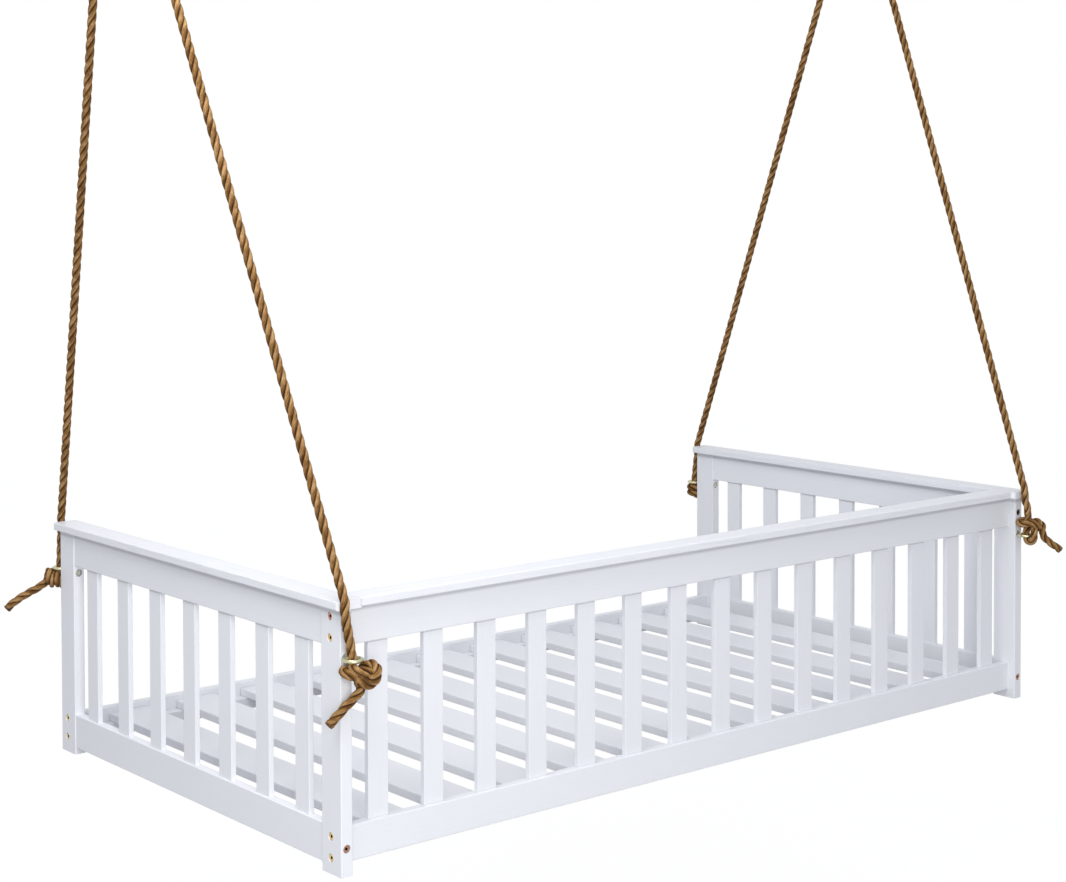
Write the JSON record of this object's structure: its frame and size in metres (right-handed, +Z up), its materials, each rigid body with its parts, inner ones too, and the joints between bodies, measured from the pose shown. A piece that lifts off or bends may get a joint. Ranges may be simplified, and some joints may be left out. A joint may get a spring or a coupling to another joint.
{
  "type": "hanging_swing_bed",
  "caption": "Hanging swing bed: white painted slatted daybed with picket ends and back, hung by four rope legs on two ceiling hooks",
  "frame": {"origin": "on the ceiling, above the middle of the bed's length and in the plane of the swing axis", "axes": "+X along the bed, +Y from the picket back to the open front, +Z up"},
  "size_m": [2.2951, 1.2777, 2.21],
  "materials": {
    "white_paint_wood": "painted_satin",
    "manila_rope": "twisted",
    "twine": "wrapped",
    "yellow_zinc": "satin",
    "galvanised_steel": "satin",
    "screw_steel": "satin",
    "beech": "raw"
  },
  "bodies": {
    "ceiling": {"ceiling_plate_left": "galvanised_steel", "ceiling_plate_right": "galvanised_steel", "hook_left": "galvanised_steel", "hook_right": "galvanised_steel"},
    "bed": {"thimble_left": "galvanised_steel", "thimble_right": "galvanised_steel", "seizing_left": "twine", "seizing_right": "twine", "rope_left": "manila_rope", "rope_right": "manila_rope", "knot_near_left": "manila_rope", "knot_far_left": "manila_rope", "knot_near_right": "manila_rope", "knot_far_right": "manila_rope", "eye_bolt_near_left": "yellow_zinc", "eye_bolt_far_left": "yellow_zinc", "eye_bolt_near_right": "yellow_zinc", "eye_bolt_far_right": "yellow_zinc", "eye_washers": "yellow_zinc", "eye_nuts": "yellow_zinc", "post_near_left": "white_paint_wood", "post_far_left": "white_paint_wood", "post_near_right": "white_paint_wood", "post_far_right": "white_paint_wood", "end_bottom_rail_left": "white_paint_wood", "end_bottom_rail_right": "white_paint_wood", "end_top_rail_left": "white_paint_wood", "end_top_rail_right": "white_paint_wood", "end_pickets_left": "white_paint_wood", "end_pickets_right": "white_paint_wood", "end_cap_left": "white_paint_wood", "end_cap_right": "white_paint_wood", "back_bottom_rail": "white_paint_wood", "back_top_rail": "white_paint_wood", "back_pickets": "white_paint_wood", "back_cap": "white_paint_wood", "cap_dowels": "beech", "front_rail": "white_paint_wood", "front_cleat": "white_paint_wood", "back_cleat": "white_paint_wood", "slats": "white_paint_wood", "slat_screws": "screw_steel", "cleat_screws": "screw_steel", "rail_bolts_long": "yellow_zinc", "rail_bolts_end": "yellow_zinc", "barrel_nuts": "yellow_zinc"}
  },
  "joints": [
    {"name": "swing", "type": "hinge", "parent": "ceiling", "child": "bed", "pos_m": [0, 0, -0.09757], "axis": [1, 0, 0], "range_deg": [-18, 18]}
  ]
}
